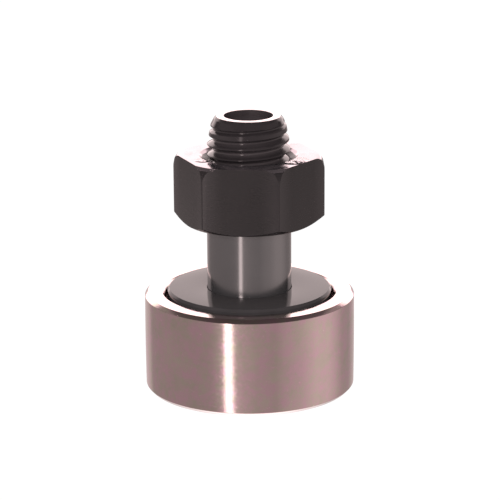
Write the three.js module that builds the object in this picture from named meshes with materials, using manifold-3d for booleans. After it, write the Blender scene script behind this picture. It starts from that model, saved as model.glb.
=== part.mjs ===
// A stud-type cam follower (track roller) standing on its head, stud upwards, with its hexagon nut.
// Millimetres, +Z up. The origin is the centre of the head's flat end face, on the stud's axis.
import * as THREE from 'three';
import { mergeVertices } from 'three/addons/utils/BufferGeometryUtils.js';
import Module from 'manifold-3d';

const wasm = await Module();
wasm.setup();

// --- Driving dimensions -------------------------------------------------------------------
const ROLLER_DIAMETER = 30;
const RING_WIDTH = 14;
const TOTAL_LENGTH = 40;
const FACE_TO_FACE = 15;          // the head's outer face to the end washer's outer face
const SHANK_DIAMETER = 12;
const THREAD_DIAMETER = 11.8;
const THREAD_PITCH = 1.5;
const RACEWAY_DIAMETER = 15;      // on the stud
const RING_BORE_DIAMETER = 20;    // the outer raceway
const NEEDLE_COUNT = 14;
const HEAD_DIAMETER = 23.44;
const GREASE_HOLE_DIAMETER = 6;
const NUT_ACROSS_FLATS = 18.7;
const NUT_HEIGHT = 9.6;
const NUT_SEAT_Z = 24.8;
const NUT_TURN = THREE.MathUtils.degToRad(-7);

// --- Sizes that follow from them ----------------------------------------------------------
const RUNNING_GAP = 0.04;
const PRESS_FIT_GAP = 0.03;       // left open, so that fitted pieces stay apart
const SMALL_CHAMFER = 0.2;
const FLANGE_THICKNESS = 2.6;
const HEAD_RADIUS = HEAD_DIAMETER / 2;
const SHANK_RADIUS = SHANK_DIAMETER / 2;
const RACEWAY_RADIUS = RACEWAY_DIAMETER / 2;
const RING_RADIUS = ROLLER_DIAMETER / 2;
const RING_BORE_RADIUS = RING_BORE_DIAMETER / 2;
const RING_BOTTOM = (FACE_TO_FACE - RING_WIDTH) / 2;
const RING_TOP = RING_BOTTOM + RING_WIDTH;
const MID_PLANE = FACE_TO_FACE / 2;
const PITCH_RADIUS = (RACEWAY_RADIUS + RING_BORE_RADIUS) / 2;
const NEEDLE_RADIUS = (RING_BORE_RADIUS - RACEWAY_RADIUS) / 2 - RUNNING_GAP;
const NEEDLE_LENGTH = 7.2;
const CAGE_LENGTH = 9.4;
const THREAD_RADIUS = THREAD_DIAMETER / 2;
const THREAD_DEPTH = 0.6134 * THREAD_PITCH;
const CORE_RADIUS = THREAD_RADIUS - THREAD_DEPTH;
const CORE_OVERLAP = 0.1;          // how far the ridge reaches into the core
const THREAD_START = 25;          // where the shank's shoulder begins
const ROUND_SEGMENTS = 48;
const NEEDLE_SEGMENTS = 16;

// --- Small helpers ------------------------------------------------------------------------
// A closed ring from [radius, z] points, or a solid of revolution if the outline meets the axis.
function lathe(outline, segments = ROUND_SEGMENTS) {
  const points = outline.map(([radius, z]) => new THREE.Vector2(radius, z));
  if (outline[0][0] > 0) points.push(points[0].clone());
  return new THREE.LatheGeometry(points, segments).rotateX(Math.PI / 2);
}

function toSolid(geometry) {
  const bare = geometry.clone();
  bare.deleteAttribute('normal');
  bare.deleteAttribute('uv');
  bare.clearGroups();
  const merged = mergeVertices(bare, 1e-3);
  const corners = merged.index.array;
  const kept = [];
  for (let i = 0; i < corners.length; i += 3) {
    const [a, b, c] = [corners[i], corners[i + 1], corners[i + 2]];
    if (a !== b && b !== c && c !== a) kept.push(a, b, c);
  }
  return new wasm.Manifold(new wasm.Mesh({
    numProp: 3,
    vertProperties: new Float32Array(merged.attributes.position.array),
    triVerts: new Uint32Array(kept),
  }));
}

function toGeometry(solid) {
  const mesh = solid.getMesh();
  const geometry = new THREE.BufferGeometry();
  geometry.setAttribute('position', new THREE.BufferAttribute(mesh.vertProperties, 3));
  geometry.setIndex(new THREE.BufferAttribute(mesh.triVerts, 1));
  geometry.computeVertexNormals();
  return geometry;
}

// A round cutter lying along +Y from the axis outwards, at the given height.
function crossHole(radius, length, z) {
  return new THREE.CylinderGeometry(radius, radius, length, NEEDLE_SEGMENTS).translate(0, length / 2, z);
}

function steel(name, color, roughness, metalness = 1) {
  return new THREE.MeshStandardMaterial({ name, color, roughness, metalness });
}

const GROUND_STEEL = steel('ground_steel', 0x9a8785, 0.32);
const TURNED_STEEL = steel('turned_steel', 0x8f8285, 0.4);
const BLACKENED_STEEL = steel('blackened_steel', 0x3a3338, 0.38);
const STUD_STEEL = steel('stud_steel', 0x5b5055, 0.36);
const NEEDLE_STEEL = steel('needle_steel', 0xb4b2af, 0.2);
const CAGE_STEEL = steel('cage_steel', 0xa7a3a0, 0.45);
const SEAL_POLYMER = steel('seal_polymer', 0x262326, 0.6, 0);

// --- Stud ---------------------------------------------------------------------------------
const HEAD_EDGE = 0.35;
const PASSAGE_RADIUS = 2;
const HEAD_HOLE_DEPTH = 6;
const END_HOLE_DEPTH = 9;
const HOLE_RADIUS = GREASE_HOLE_DIAMETER / 2;
const HOLE_CHAMFER = 0.4;
const MOUTH_RADIUS = 3.45;        // the wider first millimetre of the hole in the threaded end
const MOUTH_DEPTH = 1;
const END_FACE_RADIUS = 4.52;
const SHOULDER_SLOPE = 0.7;       // rise for each millimetre that the shank narrows to the thread

// Head, raceway, washer seat and shank round the grease passage, with the thread's heart.
function studBlank() {
  const drillTip = HOLE_RADIUS - PASSAGE_RADIUS;
  const endHoleFloor = TOTAL_LENGTH - END_HOLE_DEPTH;
  const washerSeat = FACE_TO_FACE - FLANGE_THICKNESS;
  const coreDrop = SHANK_RADIUS - CORE_RADIUS + CORE_OVERLAP;
  return lathe([
    [HOLE_RADIUS + HOLE_CHAMFER, 0],
    [HEAD_RADIUS - HEAD_EDGE, 0],
    [HEAD_RADIUS, HEAD_EDGE],
    [HEAD_RADIUS, FLANGE_THICKNESS - SMALL_CHAMFER],
    [HEAD_RADIUS - SMALL_CHAMFER, FLANGE_THICKNESS],
    [RACEWAY_RADIUS, FLANGE_THICKNESS],
    [RACEWAY_RADIUS, washerSeat - SMALL_CHAMFER],
    [RACEWAY_RADIUS - SMALL_CHAMFER, washerSeat],
    [SHANK_RADIUS, washerSeat],
    [SHANK_RADIUS, THREAD_START],
    [CORE_RADIUS - CORE_OVERLAP, THREAD_START + coreDrop * SHOULDER_SLOPE],
    [CORE_RADIUS - CORE_OVERLAP, TOTAL_LENGTH],
    [MOUTH_RADIUS, TOTAL_LENGTH],
    [MOUTH_RADIUS, TOTAL_LENGTH - MOUTH_DEPTH],
    [HOLE_RADIUS, TOTAL_LENGTH - MOUTH_DEPTH - (MOUTH_RADIUS - HOLE_RADIUS)],
    [HOLE_RADIUS, endHoleFloor],
    [PASSAGE_RADIUS, endHoleFloor - drillTip],
    [PASSAGE_RADIUS, HEAD_HOLE_DEPTH + drillTip],
    [HOLE_RADIUS, HEAD_HOLE_DEPTH],
    [HOLE_RADIUS, HOLE_CHAMFER],
  ]);
}

// The thread's root surface, with one facet for each step of the ridge that stands on it.
const RIDGE_STEPS_PER_TURN = 24;
function threadCore() {
  const inner = CORE_RADIUS - 2 * CORE_OVERLAP;
  return lathe([
    [inner, THREAD_START],
    [CORE_RADIUS, THREAD_START],
    [CORE_RADIUS, TOTAL_LENGTH],
    [inner, TOTAL_LENGTH],
  ], RIDGE_STEPS_PER_TURN);
}

// The helical ridge: an extruded bar whose steps are wound round the axis, right-handed.
const CREST_AT_PLUS_X = 36.7;    // height of one crest on the +X side
function threadRidge() {
  const turnsBelow = 7;
  const turnsAbove = 3;
  const turns = turnsBelow + turnsAbove;
  const crestHalf = THREAD_PITCH / 16;
  const height = THREAD_DEPTH + CORE_OVERLAP;
  const baseHalf = crestHalf + height * Math.tan(Math.PI / 6);
  const section = new THREE.Shape([
    new THREE.Vector2(-baseHalf, THREAD_RADIUS - height),
    new THREE.Vector2(baseHalf, THREAD_RADIUS - height),
    new THREE.Vector2(crestHalf, THREAD_RADIUS),
    new THREE.Vector2(-crestHalf, THREAD_RADIUS),
  ]);
  const bar = new THREE.ExtrudeGeometry(section, {
    depth: turns, steps: turns * RIDGE_STEPS_PER_TURN, bevelEnabled: false,
  });
  const lowestCrest = CREST_AT_PLUS_X - turnsBelow * THREAD_PITCH;
  const place = bar.attributes.position;
  for (let i = 0; i < place.count; i += 1) {
    const turn = place.getZ(i);
    const angle = turn * 2 * Math.PI;
    const radius = place.getY(i);
    const z = lowestCrest + turn * THREAD_PITCH + place.getX(i);
    place.setXYZ(i, radius * Math.cos(angle), radius * Math.sin(angle), z);
  }
  return bar;
}

// The outside that the thread's last turns are cut to: their crests fade towards the stud's end.
const FADE_START = 35.7;
const FIRST_CREST_RADIUS = 5.35;
const FIRST_CREST_Z = 38.8;
function studEnvelope() {
  const clear = 0.6;
  return lathe([
    [0, -clear],
    [HEAD_RADIUS + clear, -clear],
    [HEAD_RADIUS + clear, FACE_TO_FACE],
    [SHANK_RADIUS + clear, FACE_TO_FACE],
    [SHANK_RADIUS + clear, FADE_START - 1],
    [THREAD_RADIUS, FADE_START],
    [FIRST_CREST_RADIUS, FIRST_CREST_Z],
    [END_FACE_RADIUS, TOTAL_LENGTH],
    [0, TOTAL_LENGTH],
  ], RIDGE_STEPS_PER_TURN);
}

// The screwdriver slot across the grease hole in the head, with milled round ends.
const SLOT_WIDTH = 2.4;
const SLOT_DEPTH = 1.6;
const SLOT_LENGTH = 16;
function headSlot() {
  const end = SLOT_LENGTH / 2 - SLOT_WIDTH / 2;
  const outline = new THREE.Shape();
  outline.absarc(end, 0, SLOT_WIDTH / 2, -Math.PI / 2, Math.PI / 2, false);
  outline.absarc(-end, 0, SLOT_WIDTH / 2, Math.PI / 2, 1.5 * Math.PI, false);
  const cutter = new THREE.ExtrudeGeometry(outline, {
    depth: SLOT_DEPTH + 1, bevelEnabled: false, curveSegments: 6,
  });
  return cutter.translate(0, 0, -1);
}

function stud() {
  const radialHole = 1.5;
  const shankHoleZ = FACE_TO_FACE + 6;
  return toGeometry(
    toSolid(studBlank())
      .add(toSolid(threadCore()).add(toSolid(threadRidge())))
      .intersect(toSolid(studEnvelope()))
      .subtract(toSolid(headSlot()))
      .subtract(toSolid(crossHole(radialHole, RACEWAY_RADIUS + 1, MID_PLANE)))
      .subtract(toSolid(crossHole(radialHole, RACEWAY_RADIUS + 1, shankHoleZ))),
  );
}

// The cup-shaped plug that closes the grease hole in the head, above the slot's floor.
function closingPlug() {
  const outer = HOLE_RADIUS - 0.05;
  const wall = 0.7;
  const floor = 1;
  const edge = 0.4;
  const bottom = SLOT_DEPTH + 0.3;
  const top = bottom + 3;
  return lathe([
    [0, bottom],
    [outer - edge, bottom],
    [outer, bottom + edge],
    [outer, top],
    [outer - wall, top],
    [outer - wall, bottom + floor],
    [0, bottom + floor],
  ]);
}

// --- Roller -------------------------------------------------------------------------------
// The press-fitted disc that closes the bearing on the stud's side.
function endWasher() {
  const bottom = FACE_TO_FACE - FLANGE_THICKNESS + PRESS_FIT_GAP;
  const bore = SHANK_RADIUS + PRESS_FIT_GAP;
  return lathe([
    [bore + SMALL_CHAMFER, bottom],
    [HEAD_RADIUS - SMALL_CHAMFER, bottom],
    [HEAD_RADIUS, bottom + SMALL_CHAMFER],
    [HEAD_RADIUS, FACE_TO_FACE - HEAD_EDGE],
    [HEAD_RADIUS - HEAD_EDGE, FACE_TO_FACE],
    [bore + SMALL_CHAMFER, FACE_TO_FACE],
    [bore, FACE_TO_FACE - SMALL_CHAMFER],
    [bore, bottom + SMALL_CHAMFER],
  ]);
}

// The crowned outer ring, with a counterbore for the head and one for the end washer.
const COUNTERBORE_RADIUS = 12.1;
const SHOULDER_OFFSET = 4.2;      // from the mid plane to each inner shoulder
const EDGE_CHAMFER = 0.5;
const MOUTH_CHAMFER = 0.4;
const BORE_CHAMFER = 0.15;
const CROWN_RADIUS = 500;
function outerRing() {
  const halfCrown = RING_WIDTH / 2 - EDGE_CHAMFER;
  const crownSteps = 4;
  const lowShoulder = MID_PLANE - SHOULDER_OFFSET;
  const highShoulder = MID_PLANE + SHOULDER_OFFSET;
  const outline = [
    [RING_BORE_RADIUS, lowShoulder + BORE_CHAMFER],
    [RING_BORE_RADIUS + BORE_CHAMFER, lowShoulder],
    [COUNTERBORE_RADIUS, lowShoulder],
    [COUNTERBORE_RADIUS, RING_BOTTOM + MOUTH_CHAMFER],
    [COUNTERBORE_RADIUS + MOUTH_CHAMFER, RING_BOTTOM],
    [RING_RADIUS - EDGE_CHAMFER, RING_BOTTOM],
  ];
  for (let i = 0; i <= crownSteps; i += 1) {
    const offset = -halfCrown + (2 * halfCrown * i) / crownSteps;
    outline.push([RING_RADIUS - offset ** 2 / (2 * CROWN_RADIUS), MID_PLANE + offset]);
  }
  outline.push(
    [RING_RADIUS - EDGE_CHAMFER, RING_TOP],
    [COUNTERBORE_RADIUS + MOUTH_CHAMFER, RING_TOP],
    [COUNTERBORE_RADIUS, RING_TOP - MOUTH_CHAMFER],
    [COUNTERBORE_RADIUS, highShoulder],
    [RING_BORE_RADIUS + BORE_CHAMFER, highShoulder],
    [RING_BORE_RADIUS, highShoulder - BORE_CHAMFER],
  );
  return lathe(outline);
}

// A thin sealing washer between an inner shoulder of the ring and the flange facing it.
const SEAL_THICKNESS = 0.4;
const SEAL_GAP = 0.14;
function sealRing(side) {
  const near = MID_PLANE + side * (SHOULDER_OFFSET + SEAL_GAP);
  const far = near + side * SEAL_THICKNESS;
  const [low, high] = [Math.min(near, far), Math.max(near, far)];
  const inner = RING_BORE_RADIUS + 0.25;
  const outer = HEAD_RADIUS - RUNNING_GAP / 2;
  return lathe([[inner, low], [outer, low], [outer, high], [inner, high]]);
}

// The cage: a sleeve with one window for each needle, clear of both raceways.
const CAGE_CLEARANCE = 0.3;
const WINDOW_CLEARANCE = 0.14;
function needleCage() {
  const inner = RACEWAY_RADIUS + CAGE_CLEARANCE;
  const outer = RING_BORE_RADIUS - CAGE_CLEARANCE;
  const low = MID_PLANE - CAGE_LENGTH / 2;
  const high = MID_PLANE + CAGE_LENGTH / 2;
  const windowWidth = 2 * NEEDLE_RADIUS + WINDOW_CLEARANCE;
  const windowLength = NEEDLE_LENGTH + 0.2;
  const sleeve = [[inner, low], [outer, low], [outer, high], [inner, high]];
  let cage = toSolid(lathe(sleeve, 4 * NEEDLE_COUNT));
  for (let i = 0; i < NEEDLE_COUNT; i += 1) {
    const cutter = new THREE.BoxGeometry(4 * NEEDLE_RADIUS, windowWidth, windowLength);
    cutter.translate(PITCH_RADIUS, 0, MID_PLANE);
    cutter.rotateZ(needleAngle(i));
    cage = cage.subtract(toSolid(cutter));
  }
  return toGeometry(cage);
}

function needleAngle(i) {
  return (2 * Math.PI * (i + 0.5)) / NEEDLE_COUNT;
}

function needleRoller() {
  const half = NEEDLE_LENGTH / 2;
  return lathe([
    [0, -half],
    [NEEDLE_RADIUS - SMALL_CHAMFER, -half],
    [NEEDLE_RADIUS, -half + SMALL_CHAMFER],
    [NEEDLE_RADIUS, half - SMALL_CHAMFER],
    [NEEDLE_RADIUS - SMALL_CHAMFER, half],
    [0, half],
  ], NEEDLE_SEGMENTS);
}

// --- Nut ----------------------------------------------------------------------------------
// A countersunk hexagon, chamfered at 30 degrees under its seat and worn to a dome at its top.
const NUT_CORNER_RADIUS = 10.7;
const NUT_SEAT_RADIUS = 9.1;
const DOME_START_RADIUS = 9.8;
const DOME_REACH = 0.95;
const DOME_DEPTH = 2;
function domeDrop(radius) {
  const reach = (radius - DOME_START_RADIUS) / DOME_REACH;
  return DOME_DEPTH * (1 - Math.sqrt(1 - reach ** 2));
}

function hexNut() {
  const drop = (NUT_CORNER_RADIUS - NUT_SEAT_RADIUS) * Math.tan(Math.PI / 6);
  const top = NUT_SEAT_Z + NUT_HEIGHT;
  const domeSteps = 4;
  const dome = [];
  for (let i = domeSteps; i >= 0; i -= 1) {
    const step = (NUT_CORNER_RADIUS - DOME_START_RADIUS) * (i / domeSteps);
    const radius = DOME_START_RADIUS + step;
    dome.push([radius, top - domeDrop(radius)]);
  }
  const bore = SHANK_RADIUS;
  const seatSink = 0.5;
  const topSink = 1;
  const hexagon = new THREE.Shape();
  for (let i = 0; i < 6; i += 1) {
    const angle = (i * Math.PI) / 3;
    const reach = NUT_ACROSS_FLATS / Math.sqrt(3);
    hexagon[i === 0 ? 'moveTo' : 'lineTo'](reach * Math.cos(angle), reach * Math.sin(angle));
  }
  const prism = new THREE.ExtrudeGeometry(hexagon, { depth: NUT_HEIGHT, bevelEnabled: false });
  prism.translate(0, 0, NUT_SEAT_Z);
  prism.rotateZ(NUT_TURN);
  const turned = lathe([
    [bore + seatSink, NUT_SEAT_Z],
    [NUT_SEAT_RADIUS, NUT_SEAT_Z],
    [NUT_CORNER_RADIUS, NUT_SEAT_Z + drop],
    ...dome,
    [bore + topSink, top],
    [bore, top - topSink],
    [bore, NUT_SEAT_Z + seatSink],
  ]);
  return toGeometry(toSolid(prism).intersect(toSolid(turned)));
}

// --- Assembly -----------------------------------------------------------------------------
function piece(name, geometry, material, place = [0, 0, 0]) {
  const mesh = new THREE.Mesh(geometry, material);
  mesh.name = name;
  mesh.position.set(...place);
  return mesh;
}

const camFollower = new THREE.Group();
camFollower.add(
  piece('stud', stud(), STUD_STEEL),
  piece('closing_plug', closingPlug(), TURNED_STEEL),
  piece('end_washer', endWasher(), TURNED_STEEL),
);

const roller = new THREE.Group();
roller.add(
  piece('outer_ring', outerRing(), GROUND_STEEL),
  piece('seal_ring_head_side', sealRing(-1), SEAL_POLYMER),
  piece('seal_ring_washer_side', sealRing(1), SEAL_POLYMER),
  piece('needle_cage', needleCage(), CAGE_STEEL),
);
for (let i = 0; i < NEEDLE_COUNT; i += 1) {
  const angle = needleAngle(i);
  const place = [PITCH_RADIUS * Math.cos(angle), PITCH_RADIUS * Math.sin(angle), MID_PLANE];
  const number = String(i + 1).padStart(2, '0');
  roller.add(piece(`needle_roller_${number}`, needleRoller(), NEEDLE_STEEL, place));
}
camFollower.add(roller);
camFollower.add(piece('hex_nut', hexNut(), BLACKENED_STEEL));

export default camFollower;
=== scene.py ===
"""The looks of a stud-type cam follower with its hexagon nut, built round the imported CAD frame.

Lengths in the shape functions are millimetres. revolve() and cell_shell() turn them into metres as they
make a mesh, and the stage is in metres.
"""
import math

import bmesh
import bpy
import numpy as np
from mathutils import Matrix, Vector


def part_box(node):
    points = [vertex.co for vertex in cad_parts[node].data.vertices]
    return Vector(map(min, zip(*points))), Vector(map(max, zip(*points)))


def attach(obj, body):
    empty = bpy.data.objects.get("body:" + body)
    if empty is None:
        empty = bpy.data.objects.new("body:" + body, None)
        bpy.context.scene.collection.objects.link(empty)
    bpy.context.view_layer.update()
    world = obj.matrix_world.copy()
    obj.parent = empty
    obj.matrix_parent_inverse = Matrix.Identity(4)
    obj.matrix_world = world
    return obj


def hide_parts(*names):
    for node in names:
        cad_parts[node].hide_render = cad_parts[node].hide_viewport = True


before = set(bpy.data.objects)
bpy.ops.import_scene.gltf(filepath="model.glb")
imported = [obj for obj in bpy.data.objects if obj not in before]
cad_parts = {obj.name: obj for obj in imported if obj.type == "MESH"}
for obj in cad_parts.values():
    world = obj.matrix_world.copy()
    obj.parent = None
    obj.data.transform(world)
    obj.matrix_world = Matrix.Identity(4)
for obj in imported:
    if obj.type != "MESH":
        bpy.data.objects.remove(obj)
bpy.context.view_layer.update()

MM = 0.001


def cad_size(node):
    """(outer radius, lowest z, highest z) of a CAD node, in millimetres."""
    low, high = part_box(node)
    return (high.x - low.x) / 2 / MM, low.z / MM, high.z / MM


# --- Sizes, read from the frame where it has them -------------------------------------------
RING_RADIUS, RING_BOTTOM, RING_TOP = cad_size("outer_ring")
WASHER_RADIUS, WASHER_BOTTOM, WASHER_TOP = cad_size("end_washer")
HEAD_RADIUS, HEAD_FACE, STUD_TOP = cad_size("stud")
_, NUT_BOTTOM, NUT_TOP = cad_size("hex_nut")
CAGE_RADIUS, CAGE_BOTTOM, CAGE_TOP = cad_size("needle_cage")
NEEDLE_RADIUS, NEEDLE_BOTTOM, NEEDLE_TOP = cad_size("needle_roller_01")
PLUG_RADIUS, PLUG_BOTTOM, PLUG_TOP = cad_size("closing_plug")
MID_PLANE = WASHER_TOP / 2
NEEDLES = sorted(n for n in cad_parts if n.startswith("needle_roller_"))

RACEWAY_RADIUS = 7.5
RING_BORE_RADIUS = 10.0
SHANK_RADIUS = 6.0
FLANGE_THICKNESS = 2.6
COUNTERBORE_RADIUS = 12.1
SHOULDER_OFFSET = 4.2
CROWN_RADIUS = 500.0
HOLE_RADIUS = 3.0
HOLE_MOUTH_RADIUS = 3.46
HOLE_MOUTH_DEPTH = 1.0
PASSAGE_RADIUS = 2.0
GREASE_HOLE_RADIUS = 1.5          # the two cross holes
PITCH = 1.5
THREAD_RADIUS = 5.88
THREAD_ROOT_RADIUS = 4.98
CREST_AT_PLUS_X = 36.7
ACROSS_FLATS = 18.7
NUT_TURN = math.radians(-7)
PRESS_FIT_GAP = 0.03
SHARP_ANGLE = math.radians(32)
JOIN_DISTANCE = 2e-7              # metres


# --- Mesh building --------------------------------------------------------------------------
def fillet(corners, steps=4, closed=True):
    """The outline through (r, z, radius) corners, each rounded by an arc of its radius if that isn't 0."""
    points = []
    count = len(corners)
    for i, (r, z, radius) in enumerate(corners):
        at_end = not closed and i in (0, count - 1)
        if radius <= 0 or at_end:
            points.append((r, z))
            continue
        here = np.array([r, z])
        back = np.array(corners[i - 1][:2]) - here
        ahead = np.array(corners[(i + 1) % count][:2]) - here
        room = 0.45 * min(np.hypot(*back), np.hypot(*ahead))
        back = back / np.hypot(*back)
        ahead = ahead / np.hypot(*ahead)
        half = math.acos(np.clip(back @ ahead, -1, 1)) / 2
        reach = min(radius / math.tan(half), room)
        centre = here + (back + ahead) / np.hypot(*(back + ahead)) * reach / math.cos(half)
        start = here + back * reach - centre
        end = here + ahead * reach - centre
        sweep = math.atan2(start[0] * end[1] - start[1] * end[0], start @ end)
        for k in range(steps + 1):
            turn = sweep * k / steps
            c, s = math.cos(turn), math.sin(turn)
            points.append(tuple(centre + (start[0] * c - start[1] * s, start[0] * s + start[1] * c)))
    return np.array(points)


def even_angles(count):
    """count angles of a full turn, from 0."""
    return np.arange(count) * 2 * math.pi / count


def revolve(name, outline_at, angles, closed=True, seam=None, place=(0, 0)):
    """A piece whose section at each angle is outline_at(angle), round an upright axis at place.

    Where rows climb like a thread, seam gives the row of the first column that each row of the last meets.
    """
    outlines = np.array([outline_at(a) for a in angles])
    columns, rows = outlines.shape[:2]
    radius, height = outlines[..., 0], outlines[..., 1]
    turn = np.asarray(angles)[:, None]
    points = np.stack([radius * np.cos(turn) + place[0], radius * np.sin(turn) + place[1], height], -1)
    seam = list(range(rows)) if seam is None else seam
    faces = []
    for c in range(columns):
        last = c == columns - 1
        for k in range(rows if closed else rows - 1):
            n = (k + 1) % rows
            a, b = c * rows + k, c * rows + n
            if last:
                faces.append((a, seam[k], seam[n], b))
            else:
                faces.append((a, a + rows, b + rows, b))
    return new_object(name, points.reshape(-1, 3) * MM, faces)


def new_object(name, points, faces):
    mesh = bpy.data.meshes.new(name)
    mesh.from_pydata([tuple(p) for p in points], [], faces)
    clean(mesh)
    smooth(mesh)
    piece = bpy.data.objects.new(name, mesh)
    bpy.context.scene.collection.objects.link(piece)
    return piece


def smooth(mesh):
    """Shades a mesh smooth, apart from its sharp edges."""
    mesh.shade_smooth()
    mesh.set_sharp_from_angle(angle=SHARP_ANGLE)


def clean(mesh):
    """Joins points that coincide, drops the faces that this empties, and turns every face outwards."""
    work = bmesh.new()
    work.from_mesh(mesh)
    bmesh.ops.remove_doubles(work, verts=work.verts, dist=JOIN_DISTANCE)
    bmesh.ops.dissolve_degenerate(work, edges=work.edges, dist=JOIN_DISTANCE / 4)
    bmesh.ops.recalc_face_normals(work, faces=work.faces)
    work.to_mesh(mesh)
    work.free()


def stands_for(piece, node, body, slot, *materials):
    """piece takes the place of a CAD node, rides on its body and gets its materials."""
    for material in materials:
        piece.data.materials.append(material)
    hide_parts(node)
    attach(piece, body)
    return piece


def paint(piece, chosen):
    """Gives each face the material whose number chosen(centre in millimetres, normal) returns."""
    for face in piece.data.polygons:
        face.material_index = chosen(face.center / MM, face.normal)


def keep_modified(piece):
    """Makes what piece's modifiers show its own mesh, and removes them."""
    seen = piece.evaluated_get(bpy.context.evaluated_depsgraph_get())
    mesh = bpy.data.meshes.new_from_object(seen)
    piece.modifiers.clear()
    piece.data = mesh


def cut(piece, cutter):
    """Takes cutter's shape out of piece and removes cutter."""
    step = piece.modifiers.new("cut", "BOOLEAN")
    step.operation = "DIFFERENCE"
    step.solver = "EXACT"
    step.object = cutter
    keep_modified(piece)
    bpy.data.objects.remove(cutter)


def bevel(piece, width, segments):
    """Rounds piece's sharp edges."""
    step = piece.modifiers.new("edges", "BEVEL")
    step.width = width * MM
    step.segments = segments
    step.limit_method = "ANGLE"
    step.angle_limit = math.radians(40)
    keep_modified(piece)
    smooth(piece.data)


# --- Threads --------------------------------------------------------------------------------
ROWS_PER_PITCH = 20
FLANK_ANGLE = math.radians(30)
CREST_HALF_WIDTH = PITCH / 16


def soft_max(a, b, width=0.04):
    """The larger of two heights, with the corner between them rounded over about width."""
    return (a + b + np.sqrt((a - b) ** 2 + width**2)) / 2


def soft_min(a, b, width=0.04):
    return -soft_max(-a, -b, width)


def thread_radius(phase):
    """The stud thread's radius at a phase in pitches, where 0 is the middle of a crest."""
    away = np.abs((phase + 0.5) % 1 - 0.5) * PITCH
    flank = THREAD_RADIUS - (away - CREST_HALF_WIDTH) / math.tan(FLANK_ANGLE)
    return soft_max(soft_min(flank, THREAD_RADIUS, 0.1), THREAD_ROOT_RADIUS, 0.09)


def helix_rows(low, high):
    """(heights at angle 0, phases) of rows that climb a pitch each turn and always cover low to high."""
    count = math.ceil((high - low + PITCH) / PITCH * ROWS_PER_PITCH) + 1
    heights = low - PITCH + np.arange(count) * PITCH / ROWS_PER_PITCH
    return heights, (heights - CREST_AT_PLUS_X) / PITCH


def helix_seam(first, count, rows):
    """The row of the first column that each of rows meets, where count rows from first on climb."""
    seam = list(range(rows))
    for k in range(count):
        seam[first + k] = first + min(k + ROWS_PER_PITCH, count - 1)
    return seam


# --- Stud -----------------------------------------------------------------------------------
THREAD_START = 25.1
THREAD_BASE_RADIUS = SHANK_RADIUS - 0.02
RUN_OUT_SLOPE = 0.9
END_FACE_RADIUS = 4.52
HEAD_EDGE = 0.35
HOLE_LEAD_IN = 0.43
HEAD_HOLE_END = 6.0
END_HOLE_FLOOR = STUD_TOP - 9
SHANK_HOLE_HEIGHT = WASHER_TOP + 6
# The crests fade towards the free end: their largest radius at each depth below it.
LEAD_DEPTHS = (0, 0.35, 1.2, 2.7, 4.4)
LEAD_RADII = (END_FACE_RADIUS, 4.86, 5.32, 5.6, 5.95)


def stud_thread(angle, rows):
    """Points up the threaded end at one angle: run-out at the shank, fading crests at the free end."""
    heights, phases = rows
    z = np.clip(heights + PITCH * angle / (2 * math.pi), THREAD_START, STUD_TOP)
    run_out = THREAD_BASE_RADIUS - (z - THREAD_START) * RUN_OUT_SLOPE
    r = soft_max(thread_radius(phases), run_out, 0.05)
    r[z <= THREAD_START] = THREAD_BASE_RADIUS
    r = np.minimum(r, np.interp(STUD_TOP - z, LEAD_DEPTHS, LEAD_RADII))
    return np.stack([r, z], -1)


def stud_outside():
    """From the head's flat face up to the thread, with an undercut beside the raceway."""
    seat = WASHER_BOTTOM - 0.04
    return fillet([
        (HOLE_RADIUS + HOLE_LEAD_IN, HEAD_FACE, 0.05),
        (HEAD_RADIUS - HEAD_EDGE, HEAD_FACE, 0.12),
        (HEAD_RADIUS, HEAD_FACE + HEAD_EDGE, 0.12),
        (HEAD_RADIUS, FLANGE_THICKNESS - 0.2, 0.06),
        (HEAD_RADIUS - 0.2, FLANGE_THICKNESS, 0.06),
        (RACEWAY_RADIUS + 0.25, FLANGE_THICKNESS, 0.03),
        (RACEWAY_RADIUS - 0.12, FLANGE_THICKNESS + 0.06, 0.1),
        (RACEWAY_RADIUS, FLANGE_THICKNESS + 0.45, 0.05),
        (RACEWAY_RADIUS, WASHER_BOTTOM - 0.28, 0.08),
        (RACEWAY_RADIUS - 0.22, seat, 0.08),
        (SHANK_RADIUS, seat, 0.03),
        (SHANK_RADIUS, THREAD_START - 0.3, 0.05),
        (THREAD_BASE_RADIUS, THREAD_START - 0.1, 0),
    ], closed=False)


def stud_inside():
    """From the free end's face down through the grease passage to the head."""
    drill_tip = 0.6
    mouth_floor = STUD_TOP - HOLE_MOUTH_DEPTH
    return fillet([
        (END_FACE_RADIUS, STUD_TOP, 0),
        (HOLE_MOUTH_RADIUS, STUD_TOP, 0.06),
        (HOLE_MOUTH_RADIUS, mouth_floor, 0.1),
        (HOLE_RADIUS, mouth_floor - 0.3, 0.1),
        (HOLE_RADIUS, END_HOLE_FLOOR, 0.1),
        (PASSAGE_RADIUS, END_HOLE_FLOOR - drill_tip, 0.1),
        (PASSAGE_RADIUS, HEAD_HOLE_END + drill_tip, 0.1),
        (HOLE_RADIUS, HEAD_HOLE_END, 0.1),
        (HOLE_RADIUS, HEAD_FACE + HOLE_LEAD_IN, 0.06),
    ], closed=False)


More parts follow.
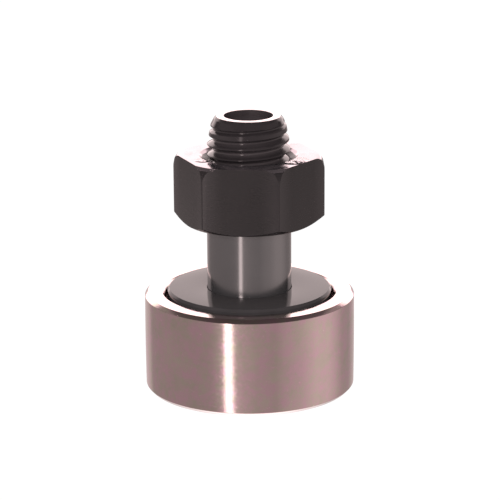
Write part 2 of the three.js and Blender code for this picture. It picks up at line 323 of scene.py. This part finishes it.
def make_stud():
    outside = stud_outside()
    inside = stud_inside()
    rows = helix_rows(THREAD_START, STUD_TOP)
    thread_count = len(rows[0])

    def outline(angle):
        return np.vstack([outside, stud_thread(angle, rows), inside])

    seam = helix_seam(len(outside), thread_count, len(outside) + thread_count + len(inside))
    stud = revolve("stud_body", outline, even_angles(160), seam=seam)
    cut(stud, slot_cutter())
    cut(stud, hole_cutter("raceway_hole", GREASE_HOLE_RADIUS, MID_PLANE, RACEWAY_RADIUS))
    cut(stud, hole_cutter("shank_hole", GREASE_HOLE_RADIUS, SHANK_HOLE_HEIGHT, SHANK_RADIUS))
    clean(stud.data)
    smooth(stud.data)
    shank, thread, head, end, hole = range(5)

    def zone(centre, normal):
        radius = math.hypot(centre.x, centre.y)
        if radius < HOLE_RADIUS + 0.55 and abs(normal.z) < 0.9:
            return hole
        if centre.z > STUD_TOP - 0.03:
            return end
        if centre.z > THREAD_START - 0.1:
            return thread
        return head if centre.z < FLANGE_THICKNESS + 0.05 else shank

    stands_for(stud, "stud", "stud", "stud_steel", GROUND_STEEL, BLACKENED_STEEL, TURNED_STEEL, BARE_STEEL,
               DRILLED_STEEL)
    paint(stud, zone)


def slot_cutter():
    """The driver slot in the head: a bar with round ends, and a lead-in along its rim."""
    half_width = 1.2
    half_length = 8.0
    depth = 1.6
    lead_in = 1.15

    def outline(angle):
        straight = half_length - half_width
        reach = straight * abs(math.cos(angle))
        side = math.sqrt(max(half_width**2 - (straight * math.sin(angle)) ** 2, 0))
        limit = half_width / max(abs(math.sin(angle)), 1e-9)
        radius = min(limit, reach + side) if side > 0 else limit
        return np.array([(0, -1), (radius + lead_in, -1), (radius, 0.15), (radius, depth), (0, depth)])

    corner = math.atan2(half_width, half_length - half_width)
    ends = np.linspace(-corner, corner, 15)
    sides = np.linspace(corner, math.pi - corner, 25)[1:-1]
    turns = np.concatenate([ends, sides, ends + math.pi, sides + math.pi])
    return revolve("slot_cutter", outline, turns, closed=False)


def hole_cutter(name, radius, z, surface):
    """A drill along +Y from the axis at height z, with a small countersink at the surface it leaves."""
    wide = radius + 0.5
    top = surface + 1
    rim = np.array([
        (0, 0), (radius, 0), (radius, surface - 0.25), (wide, surface + 0.3), (wide, top), (0, top),
    ])
    drill = revolve(name, lambda angle: rim, even_angles(40), closed=False)
    drill.data.transform(Matrix.Translation((0, 0, z * MM)) @ Matrix.Rotation(-math.pi / 2, 4, "X"))
    return drill


# --- Roller pieces --------------------------------------------------------------------------
def make_outer_ring():
    """A thick crowned ring, counterbored on both sides for the seals, with a burnished lower edge."""
    edge = 0.5
    face_outer = RING_RADIUS - edge
    low_shoulder = MID_PLANE - SHOULDER_OFFSET
    inner_low = [
        (RING_BORE_RADIUS, low_shoulder + 0.15, 0.05),
        (RING_BORE_RADIUS + 0.15, low_shoulder, 0.05),
        (COUNTERBORE_RADIUS, low_shoulder, 0.1),
        (COUNTERBORE_RADIUS, RING_BOTTOM + 0.4, 0.06),
        (COUNTERBORE_RADIUS + 0.4, RING_BOTTOM, 0.06),
        (face_outer, RING_BOTTOM, 0.12),
    ]
    inner_high = [(r, 2 * MID_PLANE - z, rounding) for r, z, rounding in reversed(inner_low)]
    half = (RING_TOP - RING_BOTTOM) / 2 - edge
    steps = np.linspace(-half, half, 13)
    crown = [(RING_RADIUS - s**2 / (2 * CROWN_RADIUS), MID_PLANE + s, 0) for s in steps]
    crown[0] = (*crown[0][:2], 0.12)
    crown[-1] = (*crown[-1][:2], 0.12)
    outline = fillet(inner_low + crown + inner_high)
    ring = revolve("ring_body", lambda angle: outline, even_angles(288))
    stands_for(ring, "outer_ring", "roller_ring", "ground_steel", RING_STEEL, EDGE_STEEL)
    ground, burnished = range(2)

    def zone(centre, normal):
        outside = math.hypot(centre.x, centre.y) > face_outer - 0.02
        on_chamfer = outside and centre.z < RING_BOTTOM + edge - 0.03
        return burnished if on_chamfer else ground

    paint(ring, zone)


def make_end_washer():
    bore = SHANK_RADIUS + PRESS_FIT_GAP
    bore_edge = 0.08
    outline = fillet([
        (bore + 0.2, WASHER_BOTTOM, 0.05),
        (WASHER_RADIUS - 0.2, WASHER_BOTTOM, 0.06),
        (WASHER_RADIUS, WASHER_BOTTOM + 0.2, 0.06),
        (WASHER_RADIUS, WASHER_TOP - 0.3, 0.1),
        (WASHER_RADIUS - 0.3, WASHER_TOP, 0.1),
        (bore + bore_edge, WASHER_TOP, 0.03),
        (bore, WASHER_TOP - bore_edge, 0.03),
        (bore, WASHER_BOTTOM + 0.2, 0.05),
    ])
    washer = revolve("washer_body", lambda angle: outline, even_angles(224))
    stands_for(washer, "end_washer", "stud", "turned_steel", TURNED_STEEL)


def make_seal(node, side):
    """A thin polymer washer with a raised lip on each face near its inner rim."""
    radius, low, high = cad_size(node)
    inner = RING_BORE_RADIUS + 0.25
    lip = 0.06
    across = [
        (inner, lip),
        (inner + 0.5, lip),
        (inner + 0.6, 0),
        (inner + 0.8, 0),
        (inner + 0.9, lip),
        (radius, lip),
    ]
    under = [(r, low + depth, 0.05) for r, depth in across]
    over = [(r, high - depth, 0.05) for r, depth in reversed(across)]
    outline = fillet(under + over, steps=3)
    seal = revolve(f"seal_body_{side}", lambda angle: outline, even_angles(160))
    stands_for(seal, node, "roller_ring", "seal_polymer", SEAL_POLYMER)


def make_needle(node):
    """A needle roller with relieved ends, and a slightly domed face on each."""
    low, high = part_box(node)
    place = ((low.x + high.x) / 2 / MM, (low.y + high.y) / 2 / MM)
    lower = [
        (0, NEEDLE_BOTTOM, 0),
        (NEEDLE_RADIUS * 0.6, NEEDLE_BOTTOM + 0.04, 0.05),
        (NEEDLE_RADIUS - 0.12, NEEDLE_BOTTOM + 0.1, 0.08),
        (NEEDLE_RADIUS - 0.012, NEEDLE_BOTTOM + 0.34, 0.1),
        (NEEDLE_RADIUS, NEEDLE_BOTTOM + 1.2, 0),
    ]
    upper = [(r, NEEDLE_BOTTOM + NEEDLE_TOP - z, rounding) for r, z, rounding in reversed(lower)]
    outline = fillet(lower + upper, closed=False)
    needle = revolve(node.replace("needle_roller", "needle"), lambda angle: outline, even_angles(48),
                     closed=False, place=place)
    stands_for(needle, node, node, "needle_steel", NEEDLE_STEEL)


def make_cage():
    """A sleeve with a window for each needle, made of the cells that are left between the windows."""
    inner = RACEWAY_RADIUS + 0.3
    rim = 0.45
    gap = 0.1
    heights = [
        CAGE_BOTTOM, CAGE_BOTTOM + rim, NEEDLE_BOTTOM - gap,
        NEEDLE_TOP + gap, CAGE_TOP - rim, CAGE_TOP,
    ]
    window_row = 2
    window_cells = 8
    bar_cells = 5
    half_window = math.asin((NEEDLE_RADIUS + 0.07) / ((inner + CAGE_RADIUS) / 2))
    share = 2 * math.pi / len(NEEDLES)
    turns = []
    for i in range(len(NEEDLES)):
        start = share * (i + 0.5) - half_window
        end = share * (i + 0.5) + half_window
        turns += list(np.linspace(start, end, window_cells + 1))
        turns += list(np.linspace(end, start + share, bar_cells + 1))[1:-1]

    def solid(column, row):
        return row != window_row or column % (window_cells + bar_cells) >= window_cells

    cage = cell_shell("cage_body", turns, heights, inner, CAGE_RADIUS, solid)
    bevel(cage, 0.07, 2)
    stands_for(cage, "needle_cage", "needle_cage", "cage_steel", CAGE_STEEL)


def cell_shell(name, turns, heights, inner, outer, solid):
    """A tube between two radii made of cells: solid(column, row) says which cells are there."""
    columns = len(turns)
    rows = len(heights) - 1
    points = []
    faces = []

    def point(column, row, radius):
        angle = turns[column % columns]
        return (radius * math.cos(angle) * MM, radius * math.sin(angle) * MM, heights[row] * MM)

    def add(*corners):
        faces.append(tuple(range(len(points), len(points) + len(corners))))
        points.extend(point(*corner) for corner in corners)

    for c in range(columns):
        for k in range(rows):
            if not solid(c, k):
                continue
            add((c, k, outer), (c + 1, k, outer), (c + 1, k + 1, outer), (c, k + 1, outer))
            add((c, k, inner), (c, k + 1, inner), (c + 1, k + 1, inner), (c + 1, k, inner))
            if k == 0 or not solid(c, k - 1):
                add((c, k, inner), (c + 1, k, inner), (c + 1, k, outer), (c, k, outer))
            if k == rows - 1 or not solid(c, k + 1):
                add((c, k + 1, inner), (c, k + 1, outer), (c + 1, k + 1, outer), (c + 1, k + 1, inner))
            if not solid((c - 1) % columns, k):
                add((c, k, inner), (c, k, outer), (c, k + 1, outer), (c, k + 1, inner))
            if not solid((c + 1) % columns, k):
                add((c + 1, k, inner), (c + 1, k + 1, inner), (c + 1, k + 1, outer), (c + 1, k, outer))
    return new_object(name, points, faces)


def make_plug():
    """The drive-in cup that closes the head's grease hole, with a dimple left by its punch."""
    inner = PLUG_RADIUS - 0.7
    floor = PLUG_BOTTOM + 1
    outline = fillet([
        (0, PLUG_BOTTOM + 0.25, 0),
        (0.7, PLUG_BOTTOM + 0.2, 0.2),
        (1.3, PLUG_BOTTOM, 0.2),
        (PLUG_RADIUS - 0.4, PLUG_BOTTOM, 0.15),
        (PLUG_RADIUS, PLUG_BOTTOM + 0.4, 0.15),
        (PLUG_RADIUS, PLUG_TOP, 0.1),
        (inner, PLUG_TOP, 0.1),
        (inner, floor, 0.2),
        (0, floor, 0),
    ], closed=False)
    plug = revolve("plug_body", lambda angle: outline, even_angles(72), closed=False)
    stands_for(plug, "closing_plug", "stud", "turned_steel", TURNED_STEEL)


# --- Nut ------------------------------------------------------------------------------------
APOTHEM = ACROSS_FLATS / 2
CORNER_FILLET = 0.22
CORNER_START = math.atan((APOTHEM - CORNER_FILLET) * math.tan(math.pi / 6) / APOTHEM)
CHAMFER_SLOPE = math.tan(math.pi / 6)
SEAT_RADIUS = 9.1
SEAT_SINK_RADIUS = 6.5
TOP_SINK_RADIUS = 7.0
MINOR_RADIUS = 5.2
THREAD_CLEARANCE = 0.07
# The crown is worn down outside WORN_FROM, and worn bright inside BRIGHT_TO.
WORN_FROM = 9.8
WORN_REACH = 0.95
WORN_DEPTH = 2.0
BRIGHT_TO = 10.35


def hexagon_radius(angle):
    """The distance from the axis to the rounded hexagon's side at an angle."""
    sixth = math.pi / 3
    local = abs((angle - NUT_TURN - math.pi / 2 + sixth / 2) % sixth - sixth / 2)
    if local <= CORNER_START:
        return APOTHEM / math.cos(local)
    centre = (APOTHEM - CORNER_FILLET) / math.cos(sixth / 2)
    off = sixth / 2 - local
    return centre * math.cos(off) + math.sqrt(CORNER_FILLET**2 - (centre * math.sin(off)) ** 2)


def nut_angles():
    """Angles from 0 to a full turn, closer together round the six corners."""
    flat = np.linspace(-CORNER_START, CORNER_START, 27)
    corner = np.linspace(CORNER_START, math.pi / 3 - CORNER_START, 8)[1:-1]
    turns = [NUT_TURN + math.pi / 2 + i * math.pi / 3 + np.concatenate([flat, corner]) for i in range(6)]
    return np.sort(np.concatenate(turns) % (2 * math.pi))


def worn_drop(radius):
    """How far the crown lies below the top face at a radius: its corners are worn to an elliptic dome."""
    reach = np.clip((radius - WORN_FROM) / WORN_REACH, 0, 1)
    return WORN_DEPTH * (1 - np.sqrt(1 - reach**2))


def nut_outside(angle):
    """Points from the seat's countersink round the outside to the top's countersink, at one angle."""
    side = hexagon_radius(angle)
    chamfer_top = NUT_BOTTOM + (side - SEAT_RADIUS) * CHAMFER_SLOPE
    bright = min(BRIGHT_TO, side - 0.05)
    flat = min(WORN_FROM, side - 0.15)
    crown = [*np.linspace(side, bright, 4)[1:], *np.linspace(bright, flat, 7)[1:]]
    return fillet([
        (SEAT_SINK_RADIUS, NUT_BOTTOM, 0),
        (SEAT_RADIUS, NUT_BOTTOM, 0.3),
        (side, chamfer_top, 0.14),
        (side, NUT_TOP - worn_drop(side), 0.12),
        *[(r, NUT_TOP - worn_drop(r), 0) for r in crown],
        (TOP_SINK_RADIUS, NUT_TOP, 0),
    ], steps=5, closed=False)


def nut_bore(angle, rows):
    """Points down the threaded bore at one angle, from one countersink to the other."""
    heights, phases = rows
    rounding = 0.03
    z = np.clip(heights + PITCH * angle / (2 * math.pi), NUT_BOTTOM, NUT_TOP)
    r = soft_max(thread_radius(phases) + THREAD_CLEARANCE, MINOR_RADIUS, rounding)
    into = np.minimum(z - NUT_BOTTOM, NUT_TOP - z)
    sink = np.where(z > (NUT_BOTTOM + NUT_TOP) / 2, TOP_SINK_RADIUS, SEAT_SINK_RADIUS)
    r = np.where(into < rounding, sink, soft_max(r, sink - into, rounding))
    return np.stack([r, z], -1)[::-1]


def make_nut():
    rows = helix_rows(NUT_BOTTOM, NUT_TOP)
    thread_count = len(rows[0])

    def outline(angle):
        return np.vstack([nut_outside(angle), nut_bore(angle, rows)])

    total = len(outline(0.0))
    upwards = helix_seam(0, thread_count, total)
    seam = [total - 1 - row for row in reversed(upwards)]
    nut = revolve("nut_body", outline, nut_angles(), seam=seam)
    stands_for(nut, "hex_nut", "hex_nut", "blackened_steel", NUT_STEEL, NUT_TOP_STEEL, BLACKENED_STEEL)
    side, crown, bore = range(3)

    def zone(centre, normal):
        if math.hypot(centre.x, centre.y) < SEAT_SINK_RADIUS - 0.6:
            return bore
        bright = centre.z > NUT_TOP - worn_drop(BRIGHT_TO) and normal.z > 0.2
        return crown if bright else side

    paint(nut, zone)


# --- Materials ------------------------------------------------------------------------------
# The colour of painted light: blended over a band of radius on dark oxide, where it stands in for light.
PAINTED_LIGHT_COLOUR = (0.1, 0.08, 0.083, 1)


class Nodes:
    """A short way to write a node tree: each call adds one node and returns the output that is used."""

    def __init__(self, tree):
        self.tree = tree
        self.tree.nodes.clear()

    def add(self, kind, inputs=(), out=0, **settings):
        made = self.tree.nodes.new(kind)
        for key, value in settings.items():
            setattr(made, key, value)
        for key, value in dict(inputs).items():
            if isinstance(value, bpy.types.NodeSocket):
                self.tree.links.new(value, made.inputs[key])
            else:
                made.inputs[key].default_value = value
        return made.outputs[out] if made.outputs else None

    def math(self, operation, a, b=0.0):
        return self.add("ShaderNodeMath", {0: a, 1: b}, operation=operation)

    def plus(self, a, b):
        return self.math("ADD", a, b)

    def times(self, a, b):
        return self.math("MULTIPLY", a, b)

    def split(self, vector):
        """The x, y and z of a vector."""
        made = self.tree.nodes.new("ShaderNodeSeparateXYZ")
        self.tree.links.new(vector, made.inputs[0])
        return made.outputs

    def vector(self, x, y, z):
        return self.add("ShaderNodeCombineXYZ", {"X": x, "Y": y, "Z": z})

    def stretch(self, vector, scale):
        return self.add("ShaderNodeMapping", {"Vector": vector, "Scale": scale})

    def noise(self, vector, scale, detail=3.0, roughness=0.55):
        inputs = {"Vector": vector, "Scale": scale, "Detail": detail, "Roughness": roughness}
        return self.add("ShaderNodeTexNoise", inputs)

    def blend(self, share, first, second):
        """Mixes two colours by share. The mix node's colours are its inputs 6 and 7, and its output 2."""
        return self.add("ShaderNodeMix", {0: share, 6: first, 7: second}, out=2, data_type="RGBA")

    def between(self, value, low, high, to_low, to_high, smooth=False):
        """Maps value from low..high to to_low..to_high, and holds it at the ends."""
        inputs = {"Value": value, "From Min": low, "From Max": high, "To Min": to_low, "To Max": to_high}
        style = "SMOOTHSTEP" if smooth else "LINEAR"
        return self.add("ShaderNodeMapRange", inputs, interpolation_type=style)


def new_material(name):
    """(material, its empty node tree)."""
    material = bpy.data.materials.new(name)
    material.use_nodes = True
    return material, Nodes(material.node_tree)


def turned_marks(n, place):
    """A noise drawn out round the axis, so that it is lines round a shaft and circles on a face. No seam.

    Returns it with the radius and the height at each place.
    """
    along = 3.0
    across = 9000.0
    x, y, z = n.split(place)
    radius = n.math("SQRT", n.plus(n.times(x, x), n.times(y, y)))
    safe = n.math("MAXIMUM", radius, 1e-6)
    level = n.plus(radius, n.times(z, 1.7))
    vector = n.vector(n.times(n.math("DIVIDE", x, safe), along),
                      n.times(n.math("DIVIDE", y, safe), along),
                      n.times(level, across))
    return n.noise(vector, 1.0, 4.0, 0.6), radius, z


def torn_spot(n, place, x, y, reach):
    """Coarse torn metal within reach of (x, y), in mm, and 0 elsewhere."""
    flat = n.add("ShaderNodeVectorMath", {0: place, 1: (1, 1, 0)}, operation="MULTIPLY")
    middle = (x * MM, y * MM, 0)
    away = n.add("ShaderNodeVectorMath", {0: flat, 1: middle}, out="Value", operation="DISTANCE")
    near = n.between(away, 0.6 * reach * MM, reach * MM, 1.0, 0.0)
    return n.times(near, n.noise(n.stretch(place, (1, 0.4, 1)), 1300.0, 2.0, 0.5))


def metal(name, dark, light, rough_low, rough_high, mark_depth, metallic=1.0, ior=1.5, grime=0.0,
          spread=180.0, ripple=0.0, blush=None, painted_light=None, scuffs=()):
    """Machined metal: fine marks round the axis in colour, roughness and bump, under larger soft stains.

    mark_depth is the depth of the marks in mm. spread is how close together the stains are, and grime is
    how dark the patches on them are. ripple is the depth in mm of a slight unevenness. blush is a second
    cast of colour, in small soft patches. painted_light is painted light: a lighter colour over a band of
    radius that stands in for light falling there, as (radius of the most, radius of the least, share, top
    z). scuffs are spots where the face is torn up, each (x, y, reach, depth) in mm.
    """
    material, n = new_material(name)
    place = n.add("ShaderNodeTexCoord", out="Object")
    marks, radius, level = turned_marks(n, place)
    stains = n.noise(place, spread, 4.0, 0.6)
    grain = n.noise(place, 9000.0, 2.0, 0.5)
    tone = n.plus(n.times(n.between(stains, 0.3, 0.7, 0.0, 1.0), 0.6), n.times(marks, 0.4))
    colour = n.blend(tone, (*dark, 1), (*light, 1))
    rough = n.plus(n.times(marks, 0.6), n.times(stains, 0.4))
    rough = n.between(rough, 0.3, 0.7, rough_low, rough_high)
    height = n.plus(marks, n.times(grain, 0.35))
    if grime:
        patch = n.between(n.noise(place, spread * 2.5, 5.0, 0.65), 0.55, 0.75, 0.0, grime)
        colour = n.blend(patch, colour, (*(0.45 * c for c in dark), 1))
    # Painted light: the colour is lightened over a band of radius, fading out above a height, as if more
    # light fell there.
    if painted_light:
        most, least, share, top = painted_light
        painted_light_share = n.between(radius, most * MM, least * MM, share, 0.0)
        painted_light_share = n.times(painted_light_share, n.between(level, (top - 0.8) * MM, top * MM, 1.0, 0.0))
        colour = n.blend(painted_light_share, colour, PAINTED_LIGHT_COLOUR)
    if blush:
        patch = n.between(n.noise(place, 500.0, 6.0, 0.75), 0.4, 0.6, 0.0, 1.0)
        colour = n.blend(patch, colour, (*blush, 1))
    if ripple:
        uneven = n.noise(n.stretch(place, (1, 1, 2.2)), 1400.0, 4.0, 0.7)
        height = n.plus(height, n.times(uneven, ripple / mark_depth))
        rough = n.plus(rough, n.between(uneven, 0.45, 0.7, 0.0, 0.08))
    for x, y, reach, depth in scuffs:
        height = n.plus(height, n.times(torn_spot(n, place, x, y, reach), depth / mark_depth))
    bump = n.add("ShaderNodeBump", {"Height": height, "Strength": 1.0, "Distance": mark_depth * MM})
    surface = n.add("ShaderNodeBsdfPrincipled", {"Base Color": colour, "Roughness": rough, "Normal": bump,
                                                 "Metallic": metallic, "IOR": ior})
    n.add("ShaderNodeOutputMaterial", {"Surface": surface})
    return material


def polymer(name):
    """Moulded sealing polymer: near black, with a fine moulded grain."""
    material, n = new_material(name)
    place = n.add("ShaderNodeTexCoord", out="Object")
    grain = n.noise(place, 6000.0, 3.0)
    colour = n.blend(grain, (0.012, 0.011, 0.012, 1), (0.03, 0.028, 0.03, 1))
    rough = n.between(grain, 0.3, 0.7, 0.5, 0.68)
    bump = n.add("ShaderNodeBump", {"Height": grain, "Strength": 1.0, "Distance": 0.01 * MM})
    surface = n.add("ShaderNodeBsdfPrincipled", {"Base Color": colour, "Roughness": rough, "Normal": bump})
    n.add("ShaderNodeOutputMaterial", {"Surface": surface})
    return material


RING_STEEL = metal("ring_ground_steel", (0.5, 0.46, 0.4), (0.62, 0.56, 0.49), 0.07, 0.12, 0.0004,
                   ripple=0.009, blush=(0.65, 0.465, 0.515))
EDGE_STEEL = metal("ring_burnished_edge", (0.93, 0.93, 0.93), (0.97, 0.97, 0.97), 0.1, 0.2, 0.0004)
GROUND_STEEL = metal("shank_ground_steel", (0.022, 0.02, 0.021), (0.034, 0.031, 0.032), 0.1, 0.17, 0.0004,
                     metallic=0.0, ior=2.4)
NEEDLE_STEEL = metal("needle_polished_steel", (0.58, 0.57, 0.56), (0.68, 0.67, 0.66), 0.08, 0.14, 0.0003)
TURNED_STEEL = metal("turned_face_steel", (0.026, 0.0225, 0.023), (0.038, 0.033, 0.034), 0.05, 0.09, 0.0003,
                     metallic=0.0, ior=1.22)
BARE_STEEL = metal("end_bare_steel", (0.5, 0.45, 0.45), (0.6, 0.54, 0.54), 0.15, 0.25, 0.001)
DRILLED_STEEL = metal("hole_drilled_steel", (0.018, 0.0135, 0.0145), (0.036, 0.028, 0.03), 0.4, 0.55, 0.003,
                      metallic=0.0)
CAGE_STEEL = metal("cage_pressed_steel", (0.42, 0.4, 0.38), (0.55, 0.53, 0.5), 0.35, 0.5, 0.003)
# Painted sheen on the nut's sides: the colour is lighter towards the hexagon's corners.
NUT_STEEL = metal("nut_black_oxide", (0.0024, 0.0018, 0.002), (0.0045, 0.0036, 0.004), 0.24, 0.34, 0.0006,
                  metallic=0.0, ior=1.42, grime=0.4, painted_light=(10.75, 9.7, 0.11, NUT_TOP + 1))
NUT_TOP_STEEL = metal("nut_worn_black_oxide", (0.24, 0.2, 0.22), (0.44, 0.39, 0.41), 0.08, 0.15, 0.001,
                      metallic=0.94, grime=0.6, spread=120.0,
                      scuffs=[(6.1, -4.1, 2.4, 0.9), (-6.3, -3.6, 1.3, 0.6)])
# Painted light in the grooves of the stud's thread and the nut's bore: lighter within 5.6 mm of the axis,
# fading out near the stud's free end.
BLACKENED_STEEL = metal("thread_black_oxide", (0.014, 0.011, 0.0118), (0.02, 0.0158, 0.0168),
                        0.1, 0.16, 0.0005, metallic=0.0, ior=1.38, grime=0.3,
                        painted_light=(5.0, 5.6, 0.3, STUD_TOP - 2.6))
SEAL_POLYMER = polymer("seal_polymer_black")


# --- Stage ----------------------------------------------------------------------------------
FLOOR_HALF = 6.0                  # metres
FLOOR_GAP = 0.00002
FLOOR_WHITE = 1.04
ROOM_WHITE = 1.1                  # what the camera sees past the floor
ROOM_SOFT = 0.6                   # what dull surfaces are lit by
STUDIO_TINT = (1.0, 0.83, 0.82)
BACKDROP = 2.4                    # the backdrop's brightness, where metal mirrors it
OBJECT_MIDDLE = Vector((0, 0, 0.02))

# Studio brightness round the object at table height, as (degrees to the right of the camera, brightness).
STUDIO_ROUND = [
    (-180, 0.78), (-160, 0.7), (-144, 0.62), (-136, 0.43), (-60, 0.41), (-43, 0.43), (-36, 0.52),
    (-29.5, 0.64), (-25.4, 3.4), (-21, 3.4), (-17, 0.74), (-12, 0.67), (-8, 0.6), (8, 0.49),
    (28, 0.45), (38, 0.54), (58, 0.65), (78, 0.84), (96, 0.84), (110, 0.68), (122, 0.5),
    (140, 0.45), (160, 0.62), (180, 0.75),
]
# Brightness above and below the table's height, as (degrees above the horizon, brightness).
STUDIO_UP = [
    (-90, 1.3), (-66, 1.3), (-56, 0.9), (-48, 0.9), (-34, 0.42), (-4, 0.8), (4, 0.8), (9, 0.07),
    (16, 0.07), (23, 0.4), (33, 0.4), (40, 0.14), (58, 0.1), (82, 0.07), (90, 0.5),
]
# The strip light's strength at each height above the horizon: its lamp is hottest near the top.
STRIP_UP = [(-90, 1), (9, 1), (13, 7), (19, 7), (22, 0), (90, 0)]


def make_camera():
    """A long lens from in front and a little above, with the stud leaning a hair to the left."""
    aim = Vector((0.00011, 0, 0.02033))
    elevation = math.radians(16.03)
    lean = math.radians(-0.358)
    distance = 0.332
    lens = bpy.data.cameras.new("camera")
    lens.sensor_width = 36
    lens.lens = 167.67
    lens.clip_start = 0.01
    lens.clip_end = 10
    camera = bpy.data.objects.new("camera", lens)
    bpy.context.scene.collection.objects.link(camera)
    back = Vector((0, -math.cos(elevation), math.sin(elevation)))
    turn = Matrix.Rotation(lean, 4, "Z").to_quaternion()
    camera.rotation_mode = "QUATERNION"
    camera.rotation_quaternion = (-back).to_track_quat("-Z", "Y") @ turn
    camera.location = aim + back * distance
    bpy.context.scene.camera = camera


def make_floor():
    """A white, evenly lit table. Metal shows the studio in its reflections and not the table."""
    half = FLOOR_HALF
    corners = [(-half, -half, 0), (half, -half, 0), (half, half, 0), (-half, half, 0)]
    mesh = bpy.data.meshes.new("floor")
    mesh.from_pydata(corners, [], [(0, 1, 2, 3)])
    floor = bpy.data.objects.new("floor", mesh)
    bpy.context.scene.collection.objects.link(floor)
    material, n = new_material("floor_white")
    white = n.add("ShaderNodeEmission", {"Color": (FLOOR_WHITE, FLOOR_WHITE, FLOOR_WHITE, 1)})
    clear = n.add("ShaderNodeBsdfTransparent", {"Color": (1, 1, 1, 1)})
    from_below = n.add("ShaderNodeNewGeometry", out="Backfacing")
    surface = n.add("ShaderNodeMixShader", {0: from_below, 1: white, 2: clear})
    n.add("ShaderNodeOutputMaterial", {"Surface": surface})
    mesh.materials.append(material)
    floor.location.z = -FLOOR_GAP
    floor.visible_glossy = False


def curve(n, value, low, high, points):
    """A brightness that follows (degrees, brightness) points along value, which runs from low to high."""
    ramp = n.tree.nodes.new("ShaderNodeValToRGB")
    n.tree.links.new(n.between(value, math.radians(low), math.radians(high), 0.0, 1.0), ramp.inputs[0])
    peak = max(level for _, level in points)
    stops = ramp.color_ramp.elements
    while len(stops) < len(points):
        stops.new(0.5)
    for stop, (degrees, level) in zip(stops, points):
        stop.position = (degrees - low) / (high - low)
        stop.color = (level / peak,) * 3 + (1,)
    return n.times(ramp.outputs[0], peak)


def fade(n, angle, start, end):
    """0 at start degrees and 1 at end, with a soft step between them."""
    return n.between(angle, math.radians(start), math.radians(end), 0.0, 1.0, smooth=True)


def studio(n):
    """The brightness that metal mirrors: panels round the object, a strip light and a bright backdrop."""
    x, y, z = n.split(n.add("ShaderNodeTexCoord", out="Generated"))
    azimuth = n.math("ARCTAN2", x, n.times(y, -1.0))
    elevation = n.math("ARCSINE", z)
    around = curve(n, azimuth, -180, 180, STUDIO_ROUND)
    upward = curve(n, elevation, -90, 90, STUDIO_UP)
    strip = n.math("MAXIMUM", n.math("SUBTRACT", around, 1.0), 0.0)
    front = n.plus(upward, n.times(strip, curve(n, elevation, -90, 90, STRIP_UP)))
    above = fade(n, elevation, -4, 4)
    below = fade(n, elevation, -34, -48)
    behind = fade(n, n.math("ABSOLUTE", azimuth), 125, 137)
    backdrop_top = fade(n, elevation, 33, 24)
    backdrop = n.times(n.times(behind, n.times(above, backdrop_top)), BACKDROP)
    over = n.plus(front, backdrop)
    return n.add("ShaderNodeMix", {0: n.math("MAXIMUM", above, below), 2: around, 3: over})


def make_world():
    """A plain white room to the eye, and a studio to metal."""
    world = bpy.data.worlds.new("studio")
    bpy.context.scene.world = world
    world.use_nodes = True
    n = Nodes(world.node_tree)
    tint = n.add("ShaderNodeVectorMath", {0: STUDIO_TINT, "Scale": studio(n)}, operation="SCALE")
    kind = n.tree.nodes.new("ShaderNodeLightPath")
    soft = n.blend(kind.outputs["Is Diffuse Ray"], tint, (ROOM_SOFT, ROOM_SOFT, ROOM_SOFT, 1))
    seen = n.blend(kind.outputs["Is Camera Ray"], soft, (ROOM_WHITE, ROOM_WHITE, ROOM_WHITE, 1))
    background = n.add("ShaderNodeBackground", {"Color": seen, "Strength": 1.0})
    n.add("ShaderNodeOutputWorld", {"Surface": background})
    world.cycles.sampling_method = "NONE"


def soft_lamp(name, place, size, power):
    """A round soft lamp aimed at the object, which lights its surfaces and is not mirrored in them."""
    data = bpy.data.lights.new(name, "AREA")
    data.shape = "DISK"
    data.size = size
    data.energy = power
    lamp = bpy.data.objects.new(name, data)
    bpy.context.scene.collection.objects.link(lamp)
    lamp.location = place
    lamp.rotation_euler = (OBJECT_MIDDLE - lamp.location).to_track_quat("-Z", "Y").to_euler()
    lamp.visible_glossy = False


def make_lights():
    """Soft light from above, and a fill from beside the camera that reaches into the thread."""
    soft_lamp("overhead", (-0.1, -0.1, 0.6), 0.5, 1.2)
    soft_lamp("fill", (-0.02, -0.42, 0.16), 0.12, 2.0)


# --- The object and its stage ---------------------------------------------------------------
make_camera()
make_world()
make_lights()
make_floor()
make_stud()
make_plug()
make_end_washer()
make_outer_ring()
make_seal("seal_ring_head_side", "head_side")
make_seal("seal_ring_washer_side", "washer_side")
make_cage()
for needle_node in NEEDLES:
    make_needle(needle_node)
make_nut()

bpy.context.scene.view_settings.view_transform = "Standard"
